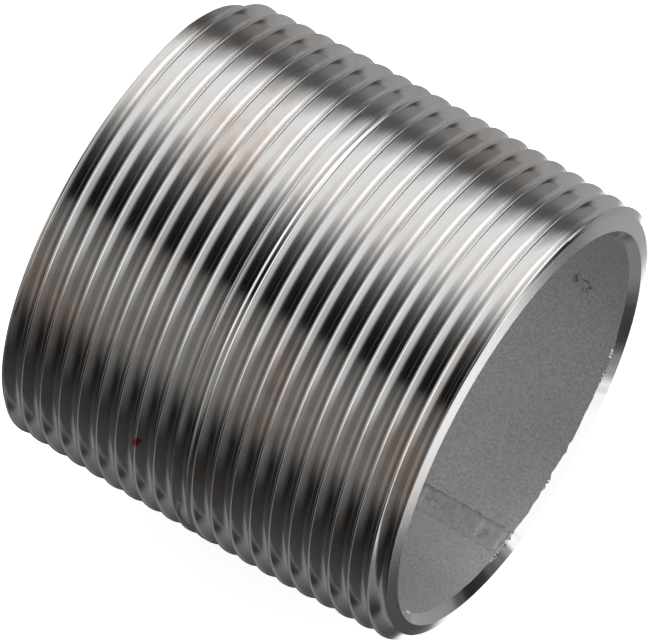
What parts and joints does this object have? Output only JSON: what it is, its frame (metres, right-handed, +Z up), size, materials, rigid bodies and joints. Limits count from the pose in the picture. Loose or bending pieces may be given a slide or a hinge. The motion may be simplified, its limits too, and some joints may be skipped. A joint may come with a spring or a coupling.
{
  "type": "pipe nipple",
  "caption": "Short close pipe nipple with a right-hand taper thread from each end to the middle, an open bore and an internal longitudinal seam weld.",
  "frame": {"origin": "on the bore's axis, half-way between the two end faces", "axes": "+X along the bore towards the front end face, +Z up with the nipple lying on its side, the seam weld at the bottom of the bore"},
  "size_m": [0.0444, 0.0482, 0.0482],
  "materials": {
    "threaded_steel": "machined bright stainless thread, matte pickled bore",
    "weld_steel": "as-welded, darker and rough"
  },
  "bodies": {
    "root": {"nipple_body": "threaded_steel", "seam_weld": "weld_steel"}
  },
  "joints": []
}
